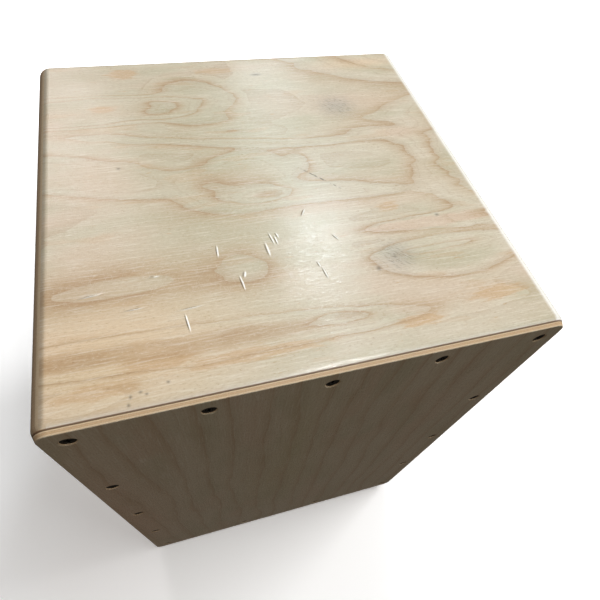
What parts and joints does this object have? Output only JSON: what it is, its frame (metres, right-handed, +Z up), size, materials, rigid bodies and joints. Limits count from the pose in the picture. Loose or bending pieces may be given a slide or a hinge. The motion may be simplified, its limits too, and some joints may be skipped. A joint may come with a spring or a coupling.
{
  "type": "cajon",
  "caption": "Box drum: rounded birch plywood box, thin screwed-on playing face, sound port in the back, rubber feet, and an inner snare bar that turns.",
  "frame": {"origin": "on the floor under the middle of the box, at the feet's undersides", "axes": "+Z up, -Y out of the playing face, +X to the right of someone who looks at the playing face"},
  "size_m": [0.3, 0.3, 0.424],
  "materials": {
    "birch_ply": "clear satin lacquer over rotary-cut birch",
    "back_ply": "clear satin lacquer over thin birch plywood",
    "tapa_ply": "clear satin lacquer over a three-ply birch face, grain upright",
    "softwood_strip": "bare planed softwood",
    "beech_bar": "bare planed beech",
    "black_screw": "black oxide",
    "zinc_steel": "bright zinc plate",
    "snare_plate_steel": "nickel plate",
    "snare_wire": "bright spring steel",
    "foot_rubber": "matt black moulded rubber"
  },
  "bodies": {
    "box": {"back_panel": "back_ply", "bottom_panel": "birch_ply", "corner_block_bottom_left": "softwood_strip", "corner_block_bottom_right": "softwood_strip", "corner_block_top_left": "softwood_strip", "corner_block_top_right": "softwood_strip", "foot_screws": "zinc_steel", "foot_washers": "zinc_steel", "front_batten_bottom": "softwood_strip", "front_batten_left": "softwood_strip", "front_batten_right": "softwood_strip", "front_batten_top": "softwood_strip", "left_side_panel": "birch_ply", "right_side_panel": "birch_ply", "rubber_foot_back_left": "foot_rubber", "rubber_foot_back_right": "foot_rubber", "rubber_foot_front_left": "foot_rubber", "rubber_foot_front_right": "foot_rubber", "seat_top_panel": "birch_ply", "tapa_front_plate": "tapa_ply", "tapa_screws_bottom_row": "black_screw", "tapa_screws_sides": "black_screw", "tapa_screws_top_row": "black_screw"},
    "snares": {"snare_bar": "beech_bar", "snare_pivot_screw_left": "black_screw", "snare_pivot_screw_right": "black_screw", "snare_plate_left": "snare_plate_steel", "snare_plate_right": "snare_plate_steel", "snare_plate_screws_left": "zinc_steel", "snare_plate_screws_right": "zinc_steel", "snare_washer_left": "zinc_steel", "snare_washer_right": "zinc_steel", "snare_wires_left": "snare_wire", "snare_wires_right": "snare_wire"}
  },
  "joints": [
    {"name": "snare_turn", "type": "hinge", "parent": "box", "child": "snares", "pos_m": [0, -0.116, 0.262], "axis": [-1, 0, 0], "range_deg": [0, 15]}
  ]
}
